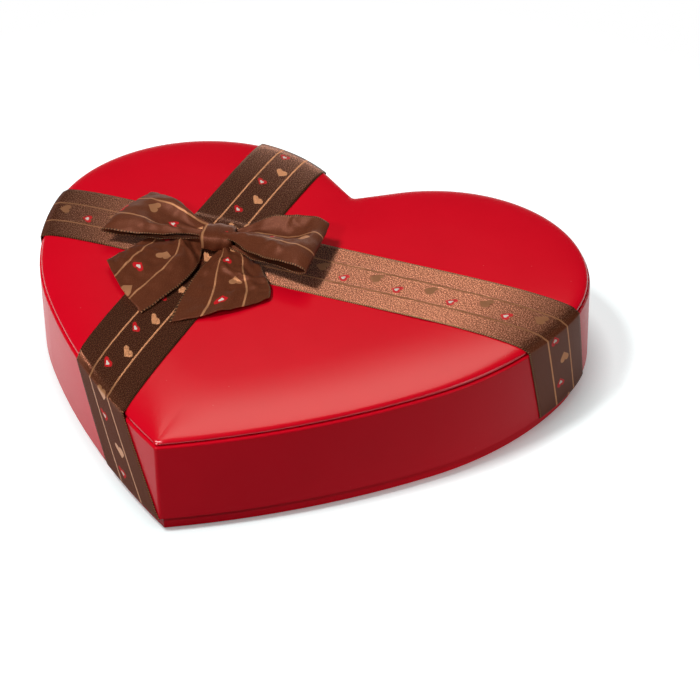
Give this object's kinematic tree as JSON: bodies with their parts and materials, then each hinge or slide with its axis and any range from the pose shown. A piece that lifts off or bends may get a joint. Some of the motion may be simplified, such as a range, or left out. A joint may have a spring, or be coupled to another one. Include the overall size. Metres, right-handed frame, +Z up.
{
  "type": "valentine heart box",
  "caption": "Heart-shaped gift box of red wrapped board with a padded lift-off lid, crossing brown pinstriped ribbon straps and a ribbon bow; the base holds sweets or small gifts.",
  "frame": {"origin": "on the surface that the box stands on, under the middle of the heart's outline", "axes": "+Z up, +Y from the heart's tip towards its notch, +X to the right seen from the tip"},
  "size_m": [0.2582, 0.2315, 0.0691],
  "materials": {
    "red_paper": "satin",
    "red_cover": "satin",
    "greyboard": "matte",
    "white_paper": "matte",
    "cushion_sheet": "matte",
    "foam": "matte",
    "brown_ribbon": "satin",
    "glue": "satin"
  },
  "bodies": {
    "base": {"base_bottom_sheet": "red_paper", "base_floor": "greyboard", "base_wall": "greyboard", "base_wrap": "red_paper", "base_floor_lining": "white_paper", "base_wall_lining": "white_paper", "cushion_pad": "cushion_sheet"},
    "lid": {"lid_ceiling_lining": "white_paper", "lid_top_board": "greyboard", "lid_wall": "greyboard", "lid_wrap": "red_paper", "pad_board": "greyboard", "pad_foam": "foam", "pad_cover": "red_cover", "ribbon_across": "brown_ribbon", "ribbon_lengthwise": "brown_ribbon", "bow_glue": "glue", "bow_knot": "brown_ribbon", "bow_loop_left": "brown_ribbon", "bow_loop_right": "brown_ribbon", "bow_tail_left": "brown_ribbon", "bow_tail_right": "brown_ribbon"}
  },
  "joints": [
    {"name": "lid_lift", "type": "slide", "parent": "base", "child": "lid", "axis": [0, 0, 1], "range_m": [0, 0.15]}
  ]
}
